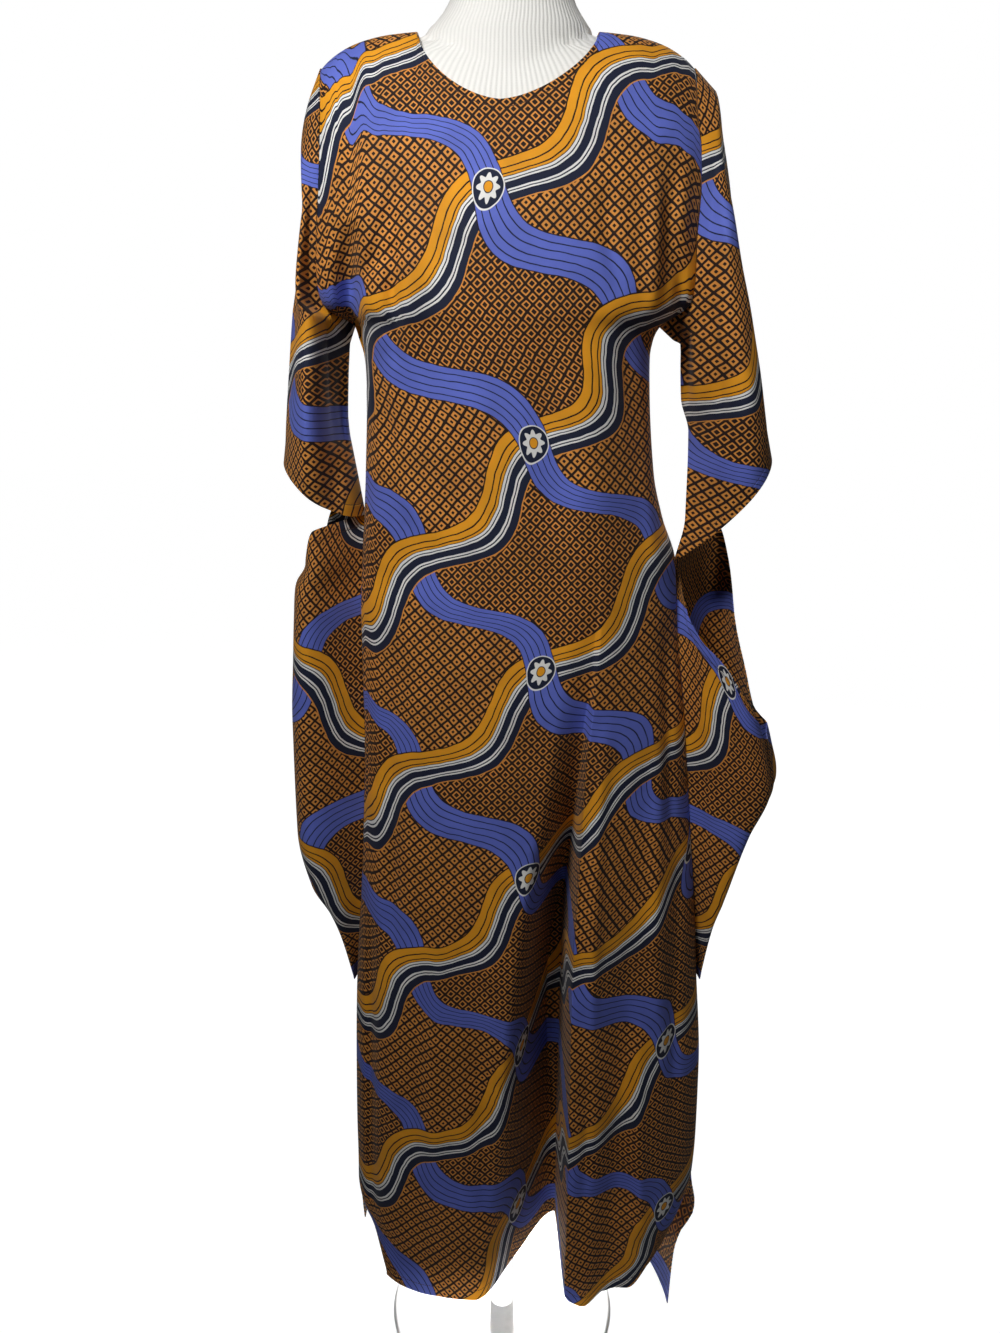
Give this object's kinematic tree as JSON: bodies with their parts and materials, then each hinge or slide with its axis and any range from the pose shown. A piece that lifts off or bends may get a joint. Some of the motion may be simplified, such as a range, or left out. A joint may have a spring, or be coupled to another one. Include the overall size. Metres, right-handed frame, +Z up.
{
  "type": "kaftan dress on dress form",
  "caption": "Long loose printed cotton kaftan with scooped neck, hanging open sleeves, side drapes and hem slits, worn by a plain limbless dress form on a round stand",
  "frame": {"origin": "centre of the round stand base's underside, on the floor", "axes": "+Z up along the pole, the front of the dress faces -Y, +X to the right seen from the front"},
  "size_m": [0.5609, 0.3031, 1.7],
  "materials": {
    "printed_cotton": "matte printed plain-weave cotton",
    "knit_cover": "matte fine rib knit",
    "stand_metal": "satin white"
  },
  "bodies": {
    "root": {"front_panel": "printed_cotton", "back_panel": "printed_cotton", "left_sleeve": "printed_cotton", "right_sleeve": "printed_cotton", "left_side_drape": "printed_cotton", "right_side_drape": "printed_cotton", "dress_form": "knit_cover", "stand_pole": "stand_metal", "stand_base": "stand_metal"}
  },
  "joints": []
}
